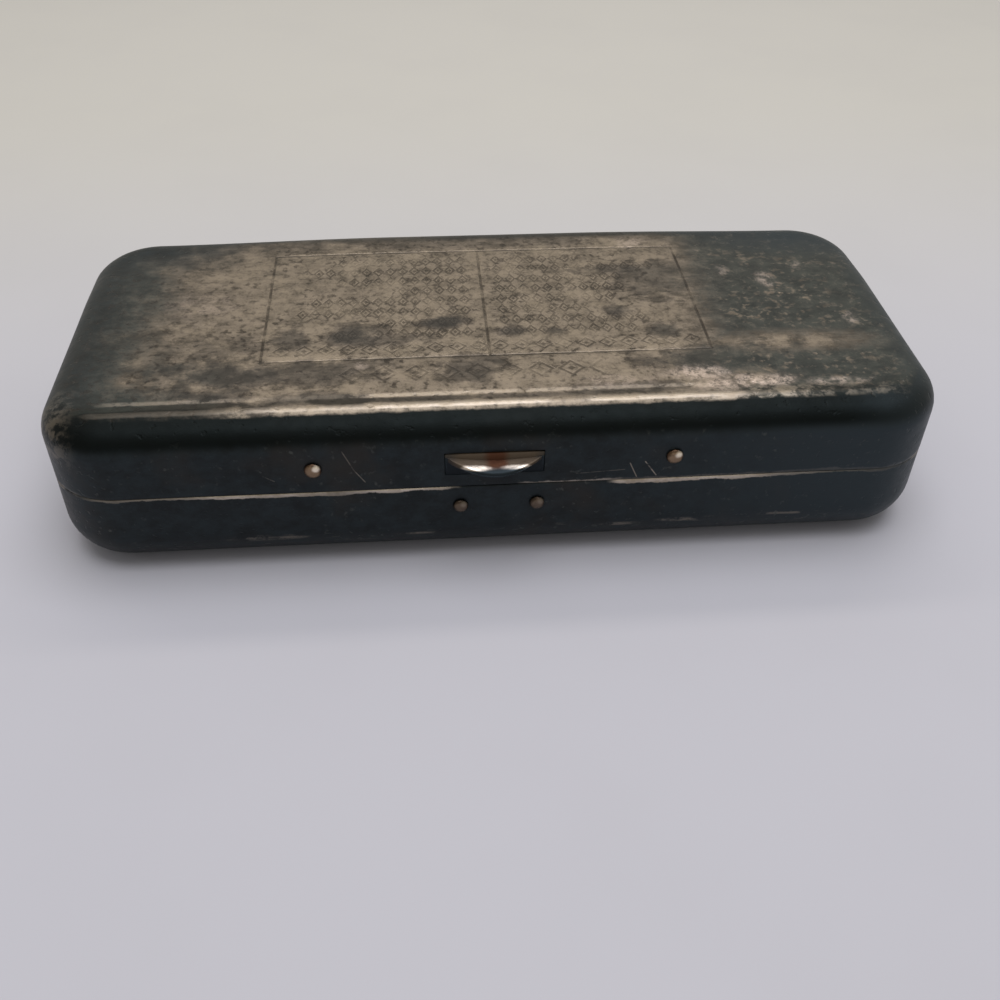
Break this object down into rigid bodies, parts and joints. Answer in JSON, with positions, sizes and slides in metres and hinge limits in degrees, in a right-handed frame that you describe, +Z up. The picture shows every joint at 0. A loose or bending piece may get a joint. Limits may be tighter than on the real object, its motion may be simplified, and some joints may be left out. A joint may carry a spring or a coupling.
{
  "type": "razor case",
  "caption": "Slim pocket case with rounded corners, a hinged lid, a spring catch with a half-moon thumb button, and a lined interior shaped for a safety razor.",
  "frame": {"origin": "centre of the flat bottom that the case rests on", "axes": "+X along the case to the right as seen from the catch, +Y from the catch at the front to the hinge at the back, +Z up"},
  "size_m": [0.1, 0.048, 0.0195],
  "materials": {
    "plated_brass": "tarnished silver plate, satin",
    "plated_brass_worn": "worn silver plate, satin",
    "bright_brass": "satin",
    "steel": "satin",
    "spring_steel": "blued, satin",
    "copper_rivet": "worn, satin",
    "button_silver": "worn silver plate, polished",
    "card": "pressed paper card, matte",
    "velvet": "cut pile",
    "satin": "satin weave"
  },
  "bodies": {
    "base": {"base_shell": "plated_brass", "locating_rim_left": "bright_brass", "locating_rim_right": "bright_brass", "base_hinge_leaf": "plated_brass", "hinge_pin": "steel", "catch_spring": "spring_steel", "catch_rivets": "copper_rivet", "bed_core": "card", "bed_velvet": "velvet"},
    "lid": {"lid_shell": "plated_brass_worn", "lid_hinge_leaf": "plated_brass", "lid_card": "card", "lid_satin": "satin", "packet_clip_left": "spring_steel", "packet_clip_right": "spring_steel", "clip_rivets": "copper_rivet", "packet_rail": "bright_brass"},
    "catch": {"push_button": "button_silver"}
  },
  "joints": [
    {"name": "lid_hinge", "type": "hinge", "parent": "base", "child": "lid", "pos_m": [0, 0.0227, 0.01085], "axis": [-1, 0, 0], "range_deg": [0, 105]},
    {"name": "button_press", "type": "slide", "parent": "base", "child": "catch", "axis": [0, 1, 0], "range_m": [0, 0.0023], "stiffness_N_per_m": 400, "deforming": ["catch_spring"]}
  ]
}
